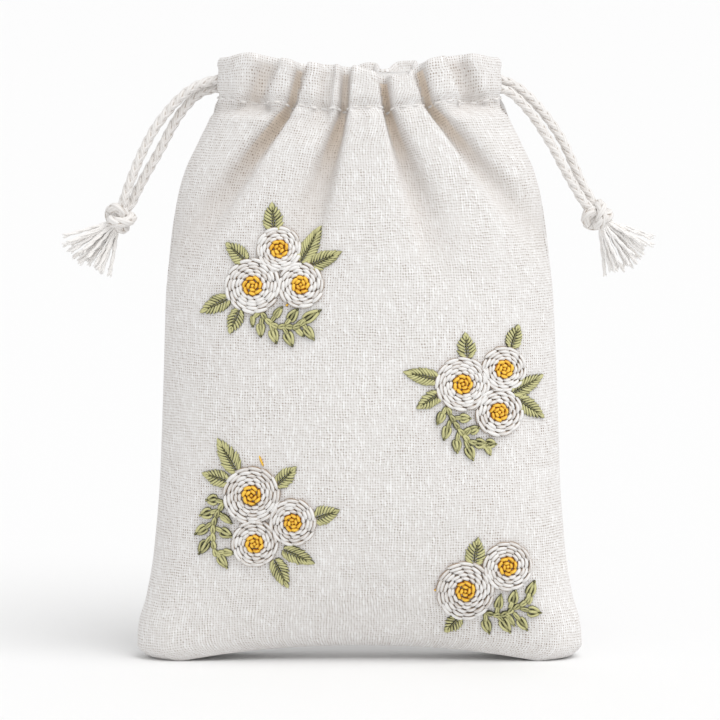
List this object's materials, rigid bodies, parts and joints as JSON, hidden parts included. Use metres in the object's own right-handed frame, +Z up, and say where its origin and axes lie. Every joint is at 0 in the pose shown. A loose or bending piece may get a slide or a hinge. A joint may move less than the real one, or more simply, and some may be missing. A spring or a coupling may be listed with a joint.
{
  "type": "drawstring pouch",
  "caption": "Soft standing linen pouch with a gathered casing, drawstrings through both side slits, end knots with tassels, and flower embroidery on its front.",
  "frame": {"origin": "on the floor, under the middle of the standing bag", "axes": "+Z up, -Y towards the embroidered front, +X to the right of someone who faces that front"},
  "size_m": [0.1633, 0.0492, 0.1691],
  "materials": {
    "linen": "off-white plain weave linen with slubs, matt",
    "cotton_cord": "off-white round braided cotton cord, matt",
    "cotton_yarn": "off-white twisted cotton yarn, matt",
    "white_thread": "white stranded embroidery cotton with a soft sheen",
    "yellow_thread": "golden yellow stranded embroidery cotton with a soft sheen",
    "green_thread": "sage green stranded embroidery cotton with a soft sheen"
  },
  "bodies": {
    "root": {"pouch_body": "linen", "drawstring_left": "cotton_cord", "drawstring_right": "cotton_cord", "knot_left": "cotton_cord", "knot_right": "cotton_cord", "tassel_left": "cotton_yarn", "tassel_right": "cotton_yarn"}
  },
  "joints": []
}
